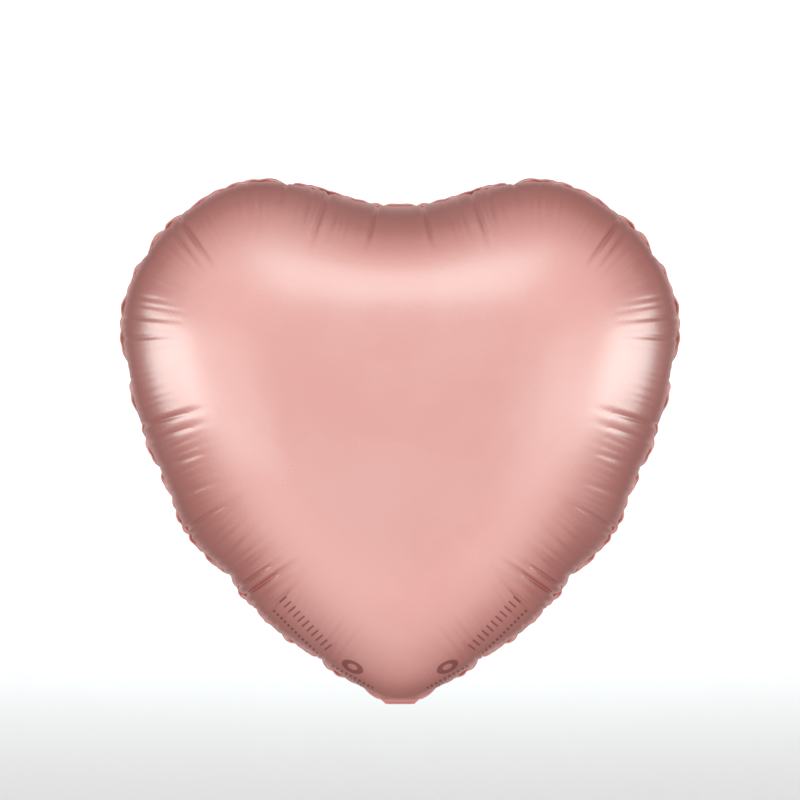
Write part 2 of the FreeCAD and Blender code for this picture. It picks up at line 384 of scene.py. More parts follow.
def net_mesh(rows=3):
    """Flat half of both panels and the flange as a net of rings: close together along
    the seam, where the wrinkles are, and opening out towards the middle."""
    steps = [(560, 0.0, 78.0, 1.9, 3.3), (280, 78.0, 108.0, 3.2, 3.4), (140, 108.0, 150.0, 3.8, 5.0),
             (70, 150.0, 176.0, 5.0, 6.0), (35, 176.0, 192.0, 6.0, 7.0)]
    span = 200.0
    rings = []
    for n, d0, d1, h0, h1 in steps:
        d = d0
        while d < d1 - 0.4 * h1:
            rings.append((1 - d / span, n))
            d += h0 + (h1 - h0) * (d - d0) / (d1 - d0)
    seam = half_curve(CUT, rings[0][1])
    V, start = [], []
    for share, n in rings:
        start.append(sum(len(v) for v in V))
        V.append(seam[::rings[0][1] // n] * share)
    n1 = sum(len(v) for v in V) + 1
    V.append(np.zeros((1, 2)))
    T = []
    for k in range(len(rings) - 1):
        n, q = rings[k][1], rings[k + 1][1]
        a, b = start[k], start[k + 1]
        i = np.arange(q)
        if n == q:
            T += [np.stack([a + i, a + i + 1, b + i + 1], 1), np.stack([a + i, b + i + 1, b + i], 1)]
        else:
            T += [np.stack([a + 2 * i, a + 2 * i + 1, b + i], 1),
                  np.stack([a + 2 * i + 1, b + i + 1, b + i], 1),
                  np.stack([a + 2 * i + 1, a + 2 * i + 2, b + i + 1], 1)]
    i = np.arange(rings[-1][1])
    T.append(np.stack([start[-1] + i, start[-1] + i + 1, np.full(len(i), n1 - 1)], 1))
    T = np.vstack(T)
    P = np.vstack(V)
    nb = rings[0][1] + 1
    nint = n1 - nb
    t = np.gradient(seam, axis=0)
    t /= np.linalg.norm(t, axis=1)[:, None]
    out = np.stack([-t[:, 1], t[:, 0]], 1)
    if (out * seam).sum() < 0:
        out = -out
    out[0], out[-1] = (0, 1), (0, -1)
    back = np.arange(n1)
    back[nb:] += nint
    flange = [seam + out * FLANGE * (j + 1) / rows for j in range(rows)]
    base = n1 + nint
    Tfl = []
    i = np.arange(nb - 1)
    for j in range(rows):
        a = 0 if j == 0 else base + (j - 1) * nb
        b = base + j * nb
        Tfl += [np.stack([a + i, b + i, b + i + 1], 1), np.stack([a + i, b + i + 1, a + i + 1], 1)]
    X0 = np.vstack([P, P[nb:]] + flange)
    line = half_curve(CUT, 700)
    deep = np.zeros(n1)
    for k in range(0, n1, 2000):
        deep[k:k + 2000] = np.sqrt(((P[k:k + 2000, None] - line[None]) ** 2).sum(2)).min(1)
    deep[:nb] = 0
    return dict(X0=X0, Tf=T, Tb=back[T][:, ::-1], Tfl=np.vstack(Tfl), nb=nb, n1=n1, nint=nint,
                rows=rows, deep=np.r_[deep, deep[nb:], np.zeros(rows * nb)])


def outline_field():
    """Solves for the smooth rise of a film over the seam's outline, on a polar net:
    angles, shares of the radius, and the rise, 0 at the seam and 1 at its highest."""
    nt, nr = 181, 111
    th = np.linspace(0, math.pi, nt)
    rho = 1 - (1 - np.linspace(0, 1, nr)) ** 1.4
    R = edge_radius(th, 0.0) - SHOWN
    X, Z = np.outer(R * np.sin(th), rho), np.outer(R * np.cos(th), rho)
    idx = np.arange(nt * nr).reshape(nt, nr)
    idx[:, 0] = 0
    P = np.stack([X.ravel(), Z.ravel()], 1)
    A, B, C, D = idx[:-1, :-1].ravel(), idx[:-1, 1:].ravel(), idx[1:, 1:].ravel(), idx[1:, :-1].ravel()
    T = np.vstack([np.stack([A, B, C], 1), np.stack([A, C, D], 1)])
    T = T[(T[:, 0] != T[:, 1]) & (T[:, 1] != T[:, 2]) & (T[:, 0] != T[:, 2])]
    n = nt * nr
    I, J, W = [], [], []
    load = np.zeros(n)
    for k in range(3):
        i, j, o = T[:, k], T[:, (k + 1) % 3], T[:, (k + 2) % 3]
        u, v = P[i] - P[o], P[j] - P[o]
        cr = np.abs(u[:, 0] * v[:, 1] - u[:, 1] * v[:, 0])
        I.append(i)
        J.append(j)
        W.append(0.5 * (u * v).sum(1) / cr)
        load += np.bincount(i, cr / 6, minlength=n)
    I, J, W = np.concatenate(I), np.concatenate(J), np.concatenate(W)
    diag = np.bincount(I, W, minlength=n) + np.bincount(J, W, minlength=n)
    free = np.ones(n, bool)
    free[idx[:, -1]] = False
    free[np.arange(nt * nr).reshape(nt, nr)[1:, 0]] = False
    pre = np.where(free, 1 / np.where(free, diag, 1), 0)

    def apply(v):
        v = v * free
        return (diag * v - np.bincount(I, W * v[J], minlength=n) - np.bincount(J, W * v[I], minlength=n)) * free
    u = np.zeros(n)
    r = load * free
    z = pre * r
    p = z.copy()
    rz = r @ z
    first = rz
    for k in range(1500):
        q = apply(p)
        al = rz / (p @ q)
        u += al * p
        r -= al * q
        z = pre * r
        rn = r @ z
        p = z + rn / rz * p
        rz = rn
        if rz < 1e-14 * first:
            break
    U = u[idx]
    return th, rho, U / U.max()


def rise_at(field, th, share):
    """Reads the field between its net's points, with a cubic through four of them."""
    nt, nr = field[2].shape
    U = np.vstack([field[2][1], field[2], field[2][-2]])
    U = np.hstack([U[:, :1], U, 2 * U[:, -1:] - U[:, -2:-1]])
    a = np.clip(th / math.pi, 0, 1) * (nt - 1)
    b = (1 - (1 - np.clip(share, 0, 1)) ** (1 / 1.4)) * (nr - 1)
    i, j = np.minimum(a.astype(int), nt - 2), np.minimum(b.astype(int), nr - 2)
    fa, fb = a - i, b - j

    def four(f):
        return (-0.5 * f + f * f - 0.5 * f ** 3, 1 - 2.5 * f * f + 1.5 * f ** 3,
                0.5 * f + 2 * f * f - 1.5 * f ** 3, -0.5 * f * f + 0.5 * f ** 3)
    wa, wb = four(fa), four(fb)
    return sum(wa[p] * sum(wb[q] * U[i + p, j + q] for q in range(4)) for p in range(4))


def full(t):
    """Turns the smooth rise into that of a film that can't stretch: upright at the
    seam, flat at the crown (the closed form for a round balloon)."""
    a = np.linspace(0, math.pi / 2, 4001)
    g = np.sqrt(np.sin(a))
    s = np.r_[0, np.cumsum(0.5 * (g[1:] + g[:-1]) * np.diff(a))]
    return np.interp(np.arcsin(np.clip(1 - t, 0, 1)), a, 1 - s / s[-1])


def blown_share(flat_share):
    """How far out a point of the flat film comes to lie once blown up."""
    b = np.linspace(0, math.pi / 2, 2001)
    g = 1 / np.sqrt(1 + np.sin(b) ** 2)
    s = np.r_[0, np.cumsum(0.5 * (g[1:] + g[:-1]) * np.diff(b))]
    return np.sin(np.interp(flat_share, s / s[-1], b))


def inflate():
    """Blows the flat cut up, evens the film out, and draws it in at the puckers.
    Millimetres."""
    m = flat_mesh(8, 12, 1)
    s = Film(m, squeeze=0.3)
    far = np.linalg.norm(m["X0"] - m["c"], axis=1)
    d = 1 - far / far.max()
    n1, ni = m["n1"], m["nint"]
    s.x[m["nb"]:n1, 1] = -10 * d[m["nb"]:n1]
    s.x[n1:n1 + ni, 1] = 10 * d[n1:n1 + ni]
    s.run(700, 2e-5)
    s = Film(m, x=s.x, squeeze=0.1)
    s.run(300, 2e-5, 0.97)
    blown = s.x.astype(float)
    blown[:, 2] -= blown[:, 2].min()
    blown[:, 1] -= 0.5 * (blown[:, 1].min() + blown[:, 1].max())

    # the blown film's depth as a smooth sheet over the measured outline
    field = outline_field()
    q = blown[:n1]
    q = q[m["deep"][:n1] > 25]
    th = np.arctan2(np.abs(q[:, 0]), q[:, 2] - CENTRE_Z)
    share = np.hypot(q[:, 0], q[:, 2] - CENTRE_Z) / (edge_radius(th, 0.0) - SHOWN)
    ok = share < 0.93
    q, th, share = q[ok], th[ok], share[ok]
    base = full(rise_at(field, th, share))

    def terms(px, pz):
        a, b = px / 180.0, (pz - CENTRE_Z) / 180.0
        return np.stack([np.ones_like(a), b, b * b, a * a, a * a * b, b ** 3], 1)
    K = terms(q[:, 0], q[:, 2])
    fit = np.linalg.lstsq(K * base[:, None], np.abs(q[:, 1]), rcond=None)[0]

    # a closer mesh, laid out along the film
    m = net_mesh()
    X0 = m["X0"]
    seam = half_curve(CUT, 2000)
    turn = np.arctan2(seam[:, 0], seam[:, 1])
    reach = np.hypot(seam[:, 0], seam[:, 1])
    tab = np.linspace(0, math.pi, 1801)
    Rt = edge_radius(tab, 0.0) - SHOWN
    ring = np.stack([Rt * np.sin(tab), Rt * np.cos(tab)], 1)
    ln = np.r_[0, np.cumsum(np.linalg.norm(np.diff(ring, axis=0), axis=1))]
    seam_th = np.interp(np.linspace(0, 1, len(seam)), ln / ln[-1], tab)
    o = np.argsort(turn)
    psi = np.arctan2(X0[:, 0], X0[:, 1])
    th = np.interp(psi, turn[o], seam_th[o])
    th = np.where(np.abs(X0[:, 0]) < 1e-6, np.where(X0[:, 1] > 0, 0.0, math.pi), th)
    flat_share = np.hypot(X0[:, 0], X0[:, 1]) / np.interp(psi, turn[o], reach[o])
    deep = depth_in(m)
    share = blown_share(np.clip(flat_share, 0, 1))
    share = np.where(deep <= 0, 1.0, share)
    R = edge_radius(th, 0.0) - SHOWN
    r = share * R + np.where(deep < 0, -deep / FLANGE * SHOWN, 0.0)
    x = np.zeros((len(X0), 3))
    x[:, 0], x[:, 2] = r * np.sin(th), CENTRE_Z + r * np.cos(th)
    up = full(rise_at(field, th, share)) * (terms(x[:, 0], x[:, 2]) @ fit)
    up *= DEPTH / up.max()
    up[deep <= 0] = 0
    n1 = m["n1"]
    x[:n1, 1] = -up[:n1]
    x[n1:n1 + m["nint"], 1] = up[n1:n1 + m["nint"]]
    pucker(x, m)
    wrinkle(x, m)
    x[:, 2] -= x[len(x) - m["nb"]:, 2].min()
    # the tip: the flange ends in a straight edge, where the neck goes on
    low = 1.05 + 2.2 * ramp_(10.3, 13.6, np.abs(x[:, 0]))
    near = np.abs(x[:, 0]) < 13.6
    gap = low - x[:, 2]
    flange = depth_in(m)
    outer = np.arange(len(x) - m["nb"], len(x))
    edge_x, edge_gap = x[outer, 0], np.where(near[outer], np.maximum(gap[outer], -3.0), 0.0)
    o = np.argsort(edge_x[-60:])
    rise = np.interp(np.abs(x[:, 0]), edge_x[-60:][o], edge_gap[-60:][o], right=0.0)
    sel = (x[:, 2] < 40) & (np.abs(x[:, 0]) < 20)
    x[:, 2] += np.where(sel, rise * (1 - ramp_(0.0, 22.0, flange)), 0.0)
    flat = (1 - ramp_(11, 17, np.abs(x[:, 0]))) * (x[:, 2] < 30) * (flange <= 0.01)
    x[:, 1] *= 1 - flat
    return dict(m, x=x)


def depth_in(m):
    """Distance in from the seam, the flange's own width counted as negative."""
    deep = m["deep"].copy()
    n_in = m["n1"] + m["nint"]
    for j in range(m["rows"]):
        deep[n_in + j * m["nb"]:n_in + (j + 1) * m["nb"]] = -FLANGE * (j + 1) / m["rows"]
    return deep


def pucker(x, m):
    """Draws the seam in at the puckers and lets it weave out of its plane."""
    deep = depth_in(m)
    dz = x[:, 2] - CENTRE_Z
    r = np.hypot(x[:, 0], dz) + 1e-6
    fi = np.arctan2(np.abs(x[:, 0]), dz)
    tab = np.linspace(0, math.pi, 1441)
    nb = m["nb"]
    rim = x[len(x) - nb:]
    rim_fi = np.arctan2(rim[:, 0], rim[:, 2] - CENTRE_Z)
    o = np.argsort(rim_fi)
    rim_r = np.interp(tab, rim_fi[o], np.hypot(rim[:, 0], rim[:, 2] - CENTRE_Z)[o])
    draw = np.interp(fi, tab, edge_radius(tab) - rim_r)
    soft = np.convolve(np.r_[(edge_radius(tab) - rim_r)[60:0:-1], edge_radius(tab) - rim_r,
                             (edge_radius(tab) - rim_r)[-2:-62:-1]],
                       np.hanning(121) / np.hanning(121).sum(), "valid")
    soft = np.interp(fi, tab, soft)
    near = 1 - ramp_(-1.0, 14.0, deep)
    far = 1 - ramp_(0.0, 42.0, deep)
    rng = np.random.default_rng(8)
    at, scallop = 4.0, np.zeros(len(x))
    while at < 172:
        w = rng.uniform(0.7, 1.3)
        scallop -= rng.uniform(0.6, 1.9) * np.exp(-(np.abs(np.degrees(fi) - at) / w) ** 1.5)
        at += rng.uniform(2.4, 4.6)
    move = (draw - soft + scallop) * near + soft * far
    x[:, 0] += move * x[:, 0] / r
    x[:, 2] += move * dz / r
    # the seam weaves to and fro between the puckers, the flange a little more
    deg = np.degrees(fi)
    weave = np.zeros(len(x))
    side = 1.0
    for at, depth, wide in PUCKERS:
        weave += side * (0.35 + 0.22 * depth) * np.exp(-((deg - at) / (1.2 * wide)) ** 2)
        side = -side
    rng = np.random.default_rng(4)
    at = 6.0
    small = np.zeros(len(x))
    side = 1.0
    while at < 171:
        w = rng.uniform(0.9, 1.7)
        small += side * rng.uniform(0.4, 1.0) * np.exp(-((deg - at) / w) ** 2)
        side = -side
        at += 1.75 * w + rng.uniform(0, 1.2)
    calm = ramp_(3, 9, deg) * (1 - ramp_(168, 175, deg))
    x[:, 1] += calm * (weave * (1 - ramp_(0, 14, deep)) + small * (0.5 * (1 - ramp_(-0.5, 7, deep))
                                                                + 1.3 * ramp_(0, 5, -deep)))


def edge_frame(deg):
    """A point of the flange's edge at an angle from the notch, and the way in."""
    f = np.radians(np.array([deg - 2.5, deg, deg + 2.5]))
    r = edge_radius(np.abs(f), 0.0)
    px, pz = r * np.sin(f), CENTRE_Z + r * np.cos(f)
    tx, tz = px[2] - px[0], pz[2] - pz[0]
    k = math.hypot(tx, tz)
    nx, nz = tz / k, -tx / k
    if nx * px[1] + nz * (pz[1] - CENTRE_Z) > 0:
        nx, nz = -nx, -nz
    return px[1], pz[1], nx, nz


def wrinkle(x, m):
    """Adds the fine wrinkles that run in from the seam, and the sharper creases."""
    n1, ni = m["n1"], m["nint"]
    deep = m["deep"]
    for which, tris in ((0, m["Tf"]), (1, m["Tb"])):
        T = tris
        nrm = np.zeros_like(x)
        fn = np.cross(x[T[:, 1]] - x[T[:, 0]], x[T[:, 2]] - x[T[:, 0]])
        for k in range(3):
            for j in range(3):
                nrm[:, j] += np.bincount(T[:, k], fn[:, j], minlength=len(x))
        nrm /= np.linalg.norm(nrm, axis=1)[:, None] + 1e-30
        ids = np.unique(T)
        if nrm[ids[np.argmax(np.abs(x[ids, 1]))], 1] * x[ids[np.argmax(np.abs(x[ids, 1]))], 1] < 0:
            nrm = -nrm
        ids = ids[(deep[ids] < 120) & (deep[ids] > 0.5)]
        q = x[ids]
        total = np.zeros(len(ids))
        rng = np.random.default_rng(21 + which)
        lines = list(CREASES) if which == 0 else []
        if which == 1:
            for at, depth, wide in PUCKERS:
                lines.append((at, rng.uniform(-8, 8), 3, rng.uniform(34, 58), -0.55, 1.5))
        deg = 2.0
        while deg < 176:
            # local pitch in degrees: about five millimetres along the edge
            px, pz, nx, nz = edge_frame(deg)
            step = math.degrees(rng.uniform(3.6, 6.2) / math.hypot(px, pz - CENTRE_Z))
            strong = fan_strength(deg, which, rng)
            lines.append((deg, rng.normal(0, 1.6), rng.uniform(2, 6), rng.uniform(30, 46) + 14 * strong,
                          -(0.14 + 0.30 * strong) * rng.uniform(0.6, 1.25), rng.uniform(1.1, 1.6)))
            deg += step
        for at, turn, start, end, amount, wide in lines:
            px, pz, nx, nz = edge_frame(at)
            c, s_ = math.cos(math.radians(turn)), math.sin(math.radians(turn))
            nx, nz = nx * c - nz * s_, nx * s_ + nz * c
            u = (q[:, 0] - px) * nx + (q[:, 2] - pz) * nz
            v = (q[:, 0] - px) * -nz + (q[:, 2] - pz) * nx
            near = (np.abs(v) < 5 * wide) & (u > -2) & (u < end + 3)
            if not near.any():
                continue
            uu, vv = u[near], v[near] / (wide * (1 + 0.25 * u[near] / end))
            along = np.clip((uu + 2) / (start + 2), 0, 1) * np.clip((end - uu) / (end * 0.8), 0, 1)
            along = along * along * (3 - 2 * along)
            total[near] += amount * along * (1.25 * np.exp(-vv ** 2) - 0.25 * np.exp(-(vv / 2.6) ** 2) * 1.0)
        total *= ramp_(0.5, 4.0, deep[ids])
        x[ids] += nrm[ids] * total[:, None]
    x[np.abs(m["X0"][:, 0]) < 1e-6, 0] = 0


# stretches of the edge with close, strong wrinkles: from, to (degrees from the notch), strength
FANS = [(10, 20, 0.8), (27, 33, 0.5), (38, 44, 0.7), (50, 58, 0.9), (62, 72, 1.0), (76, 84, 0.4),
        (88, 104, 0.75), (104, 118, 1.2), (118, 134, 2.0), (136, 147, 1.9), (149, 162, 1.0)]


def fan_strength(deg, which, rng):
    if which == 1:
        return max(0.0, min(1.0, 0.45 + 0.5 * math.sin(deg * 0.21) + 0.25 * math.sin(deg * 0.53 + 1.0)))
    best = 0.0
    for a, b, k in FANS:
        best = max(best, k * min(1.0, max(0.0, (deg - a + 1.5) / 1.5), max(0.0, (b + 1.5 - deg) / 1.5)))
    return best



# ---- thin closed skins out of the film's middle surface ----------------------
def mesh_object(name, verts, faces, smooth=True):
    """faces is a list of arrays, each of faces with the same number of corners."""
    verts = np.asarray(verts, np.float32)
    if not isinstance(faces, (list, tuple)) or (len(faces) and not isinstance(faces[0], np.ndarray)):
        faces = [np.asarray([f], int) for f in faces]
    faces = [f for f in faces if len(f)]
    loops = np.concatenate([f.ravel() for f in faces]).astype(np.int32)
    sizes = np.concatenate([np.full(len(f), f.shape[1]) for f in faces])
    starts = np.r_[0, np.cumsum(sizes)[:-1]].astype(np.int32)
    me = bpy.data.meshes.new(name)
    me.vertices.add(len(verts))
    me.vertices.foreach_set("co", verts.ravel())
    me.loops.add(len(loops))
    me.loops.foreach_set("vertex_index", loops)
    me.polygons.add(len(sizes))
    me.polygons.foreach_set("loop_start", starts)
    me.update(calc_edges=True)
    me.validate()
    if smooth:
        me.polygons.foreach_set("use_smooth", [True] * len(me.polygons))
    o = bpy.data.objects.new(name, me)
    bpy.context.scene.collection.objects.link(o)
    return o


def normals_of(V, F):
    """Area-weighted vertex normals of triangles or quads."""
    n = np.zeros_like(V)
    F = np.asarray(F)
    if F.shape[1] == 4:
        fn = np.cross(V[F[:, 2]] - V[F[:, 0]], V[F[:, 3]] - V[F[:, 1]])
    else:
        fn = np.cross(V[F[:, 1]] - V[F[:, 0]], V[F[:, 2]] - V[F[:, 0]])
    for k in range(F.shape[1]):
        for j in range(3):
            n[:, j] += np.bincount(F[:, k], fn[:, j], minlength=len(V))
    return n / (np.linalg.norm(n, axis=1)[:, None] + 1e-30)


def rim_of(F):
    """Directed boundary edges."""
    k = F.shape[1]
    e = np.vstack([np.stack([F[:, i], F[:, (i + 1) % k]], 1) for i in range(k)])
    key = np.sort(e, 1)
    key = key[:, 0].astype(np.int64) * 10 ** 8 + key[:, 1]
    u, inv, cnt = np.unique(key, return_inverse=True, return_counts=True)
    return e[cnt[inv] == 1]


def skin(name, V, F, low, high, attributes=None):
    """A closed skin between two offsets from the middle surface V, F along its
    normals, metres."""
    F = np.asarray(F)
    n = normals_of(V, F)
    N = len(V)
    e = rim_of(F)
    side = np.stack([e[:, 1], e[:, 0], e[:, 0] + N, e[:, 1] + N], 1)
    o = mesh_object(name, np.vstack([V + n * high, V + n * low]), [F, F[:, ::-1] + N, side])
    for key, values in (attributes or {}).items():
        at = o.data.attributes.new(key, "FLOAT", "POINT")
        at.data.foreach_set("value", np.concatenate([values, values]).astype(np.float32))
    return o


def mirrored(x, T, X0):
    """The whole sheet out of its half: points, triangles, and the half's own row."""
    on = np.abs(X0[:, 0]) < 1e-6
    n = len(x)
    other = np.arange(n)
    extra = np.where(~on)[0]
    other[extra] = n + np.arange(len(extra))
    V = np.vstack([x, x[extra] * [-1, 1, 1]])
    F = np.vstack([T, other[T][:, ::-1]])
    src = np.r_[np.arange(n), extra]
    side = np.r_[np.ones(n), -np.ones(len(extra))]
    return V, F, src, side


def used_only(V, F):
    used = np.unique(F)
    new = -np.ones(len(V), int)
    new[used] = np.arange(len(used))
    return used, new[F]


# ---- materials ---------------------------------------------------------------
def new_material(name):
    m = bpy.data.materials.new(name)
    m.use_nodes = True
    nt = m.node_tree
    for n in list(nt.nodes):
        nt.nodes.remove(n)
    out = nt.nodes.new("ShaderNodeOutputMaterial")
    sh = nt.nodes.new("ShaderNodeBsdfPrincipled")
    nt.links.new(sh.outputs["BSDF"], out.inputs["Surface"])
    return m, nt, sh


class Net:
    """Short names for adding nodes."""

    def __init__(s, nt):
        s.nt = nt

    def node(s, kind, **kw):
        n = s.nt.nodes.new(kind)
        for k, v in kw.items():
            setattr(n, k, v)
        return n

    def link(s, a, b):
        s.nt.links.new(a, b)

    def put(s, socket, v):
        if isinstance(v, (int, float)):
            socket.default_value = v
        elif isinstance(v, (tuple, list)):
            socket.default_value = v
        else:
            s.link(v, socket)

    def math(s, op, a, b=0.0, c=None, clamp=False):
        n = s.node("ShaderNodeMath", operation=op, use_clamp=clamp)
        s.put(n.inputs[0], a)
        s.put(n.inputs[1], b)
        if c is not None:
            s.put(n.inputs[2], c)
        return n.outputs[0]

    def attribute(s, name):
        return s.node("ShaderNodeAttribute", attribute_name=name, attribute_type="GEOMETRY").outputs["Fac"]

    def vector(s, x, y, z):
        n = s.node("ShaderNodeCombineXYZ")
        for i, v in enumerate((x, y, z)):
            s.put(n.inputs[i], v)
        return n.outputs[0]

    def noise(s, vec, scale, detail=2.0, rough=0.5):
        n = s.node("ShaderNodeTexNoise")
        s.link(vec, n.inputs["Vector"])
        n.inputs["Scale"].default_value = scale
        n.inputs["Detail"].default_value = detail
        n.inputs["Roughness"].default_value = rough
        return n.outputs["Fac"]

    def span(s, v, a, b, lo=0.0, hi=1.0, smooth=True):
        n = s.node("ShaderNodeMapRange", interpolation_type="SMOOTHSTEP" if smooth else "LINEAR")
        s.put(n.inputs["Value"], v)
        for k, q in (("From Min", a), ("From Max", b), ("To Min", lo), ("To Max", hi)):
            n.inputs[k].default_value = q
        return n.outputs["Result"]

    def mix(s, f, a, b):
        n = s.node("ShaderNodeMix", data_type="RGBA")
        s.put(n.inputs[0], f)
        s.put(n.inputs[6], a)
        s.put(n.inputs[7], b)
        return n.outputs[2]

    def bump(s, height, strength, distance, normal=None):
        n = s.node("ShaderNodeBump")
        n.inputs["Strength"].default_value = strength
        n.inputs["Distance"].default_value = distance
        s.link(height, n.inputs["Height"])
        if normal is not None:
            s.link(normal, n.inputs["Normal"])
        return n.outputs["Normal"]


ROSE = (0.800, 0.405, 0.365, 1.0)
# deeper rose: the sealed seam's own colour, and also painted shade near the seam
ROSE_SEAM_AND_SHADE = (0.640, 0.255, 0.225, 1.0)
ROSE_PALE = (0.830, 0.450, 0.410, 1.0)
INK = (0.300, 0.085, 0.080, 1.0)


def printed_marks(t):
    """Plain ticks, dots and ovals printed along the lower edges of the front, where
    the original carries its lettering. Returns a mask."""
    co = t.node("ShaderNodeTexCoord").outputs["Object"]
    xyz = t.node("ShaderNodeSeparateXYZ")
    t.link(co, xyz.inputs[0])
    px = t.math("MULTIPLY", t.math("ABSOLUTE", xyz.outputs["X"]), 1000.0)
    pz = t.math("MULTIPLY", xyz.outputs["Z"], 1000.0)

    def along(ax, az, bx, bz):
        ln = math.hypot(bx - ax, bz - az)
        cx, cz = (bx - ax) / ln, (bz - az) / ln
        dx, dz = t.math("SUBTRACT", px, ax), t.math("SUBTRACT", pz, az)
        u = t.math("ADD", t.math("MULTIPLY", dx, cx), t.math("MULTIPLY", dz, cz))
        v = t.math("SUBTRACT", t.math("MULTIPLY", dz, cx), t.math("MULTIPLY", dx, cz))
        return u, v, ln

    def inside(v, lo, hi, soft=0.25):
        return t.math("MULTIPLY", t.span(v, lo - soft, lo + soft), t.span(v, hi + soft, hi - soft))

    def ticks(line, pitch, width, lo, hi, soft=0.3):
        u, v, ln = line
        cell = t.math("MULTIPLY", t.math("FRACT", t.math("DIVIDE", t.math("ADD", u, 100.0 * pitch), pitch)), pitch)
        k = t.math("MULTIPLY", inside(cell, pitch / 2 - width / 2, pitch / 2 + width / 2, soft), inside(v, lo, hi))
        return t.math("MULTIPLY", k, inside(u, 0, ln))

    def oval(cx, cz, tilt, a, b, thick):
        c, s = math.cos(math.radians(tilt)), math.sin(math.radians(tilt))
        dx, dz = t.math("SUBTRACT", px, cx), t.math("SUBTRACT", pz, cz)
        u = t.math("DIVIDE", t.math("ADD", t.math("MULTIPLY", dx, c), t.math("MULTIPLY", dz, s)), a)
        v = t.math("DIVIDE", t.math("SUBTRACT", t.math("MULTIPLY", dz, c), t.math("MULTIPLY", dx, s)), b)
        r = t.math("SQRT", t.math("ADD", t.math("MULTIPLY", u, u), t.math("MULTIPLY", v, v)))
        return inside(r, 1 - thick, 1.0, 0.05)

    parts = [ticks(along(77.1, 74.3, 45.2, 39.1), 4.3, 1.2, -3.2, 3.2),
             ticks(along(83.0, 65.5, 54.0, 35.5), 3.3, 1.7, -0.95, 0.95),
             ticks(along(45.5, 27.6, 17.6, 12.6), 3.3, 1.7, -0.95, 0.95),
             oval(31.0, 27.6, 26.0, 7.6, 4.2, 0.55),
             ticks(along(38.0, 25.0, 22.0, 17.2), 2.4, 0.9, 3.2, 5.4)]
    total = parts[0]
    for p in parts[1:]:
        total = t.math("MAXIMUM", total, p)
    return total


def foil(name, printed=False):
    """Satin metallised film: rose metal seen through a clear outer layer, darkened towards the seam by painted
    shade.
    """
    m, nt, sh = new_material(name)
    t = Net(nt)
    fx, fz, deep = t.attribute("flat_x"), t.attribute("flat_z"), t.attribute("deep")
    at = t.vector(fx, 0.0, fz)
    cloud = t.noise(at, 0.012, 3.0)
    grain = t.noise(at, 1.6, 2.0)
    seam = t.span(deep, 0.6, -0.6)
    colour = t.mix(t.span(cloud, 0.35, 0.65), ROSE, ROSE_PALE)
    # painted shade: within 62 mm of the seam the colour darkens towards the deeper rose (up to 55 %), standing in
    # for the darker room that the turned-away film mirrors there; the seam and flange take the same deeper rose as
    # the sealed joint's own colour
    edge = t.math("MULTIPLY", t.span(deep, 62.0, 0.0), 0.55)
    colour = t.mix(t.math("MAXIMUM", edge, t.math("MULTIPLY", seam, 0.85)), colour, ROSE_SEAM_AND_SHADE)
    rough = t.math("ADD", t.span(cloud, 0.3, 0.7, 0.235, 0.275), t.math("MULTIPLY", grain, 0.03))
    rough = t.math("ADD", rough, t.math("MULTIPLY", seam, 0.10))
    if printed:
        ink = printed_marks(t)
        colour = t.mix(t.math("MULTIPLY", ink, 0.8), colour, INK)
        rough = t.math("ADD", rough, t.math("MULTIPLY", ink, 0.10))
    t.link(colour, sh.inputs["Base Color"])
    sh.inputs["Metallic"].default_value = 1.0
    t.link(rough, sh.inputs["Roughness"])
    sh.inputs["Coat Weight"].default_value = 0.5
    sh.inputs["Coat Roughness"].default_value = 0.30
    sh.inputs["Coat IOR"].default_value = 1.6
    # fine film texture, and the sealing bar's cross lines on the seam
    bars = t.math("MULTIPLY",
                  t.math("SINE", t.math("MULTIPLY", t.math("ADD", fx, fz), 5.2)),
                  t.math("SINE", t.math("MULTIPLY", t.math("SUBTRACT", fx, fz), 5.2)))
    height = t.math("ADD", t.math("MULTIPLY", t.noise(at, 0.22, 3.0), 0.35),
                    t.math("MULTIPLY", t.math("MULTIPLY", bars, seam), 0.12))
    t.link(t.bump(height, 0.2, 0.0006), sh.inputs["Normal"])
    return m


def plain_film(name, colour, rough, alpha_like=0.0):
    m, nt, sh = new_material(name)
    t = Net(nt)
    co = t.node("ShaderNodeTexCoord").outputs["Object"]
    n = t.noise(co, 260.0, 2.0)
    dark = tuple(c * 0.86 for c in colour[:3]) + (1.0,)
    t.link(t.mix(t.span(n, 0.3, 0.7), colour, dark), sh.inputs["Base Color"])
    t.link(t.span(n, 0.2, 0.8, rough - 0.05, rough + 0.07), sh.inputs["Roughness"])
    t.link(t.bump(n, 0.2, 0.0003), sh.inputs["Normal"])
    sh.inputs["Specular IOR Level"].default_value = 0.5
    if alpha_like:
        sh.inputs["Transmission Weight"].default_value = alpha_like
        sh.inputs["IOR"].default_value = 1.5
    return m


# ---- foil pieces -------------------------------------------------------------
film = inflate()
x, X0 = film["x"] * MM, film["X0"]
deep0 = film["deep"].copy()
n_in = film["n1"] + film["nint"]
for j in range(film["rows"]):
    deep0[n_in + j * film["nb"]:n_in + (j + 1) * film["nb"]] = -FLANGE * (j + 1) / film["rows"]

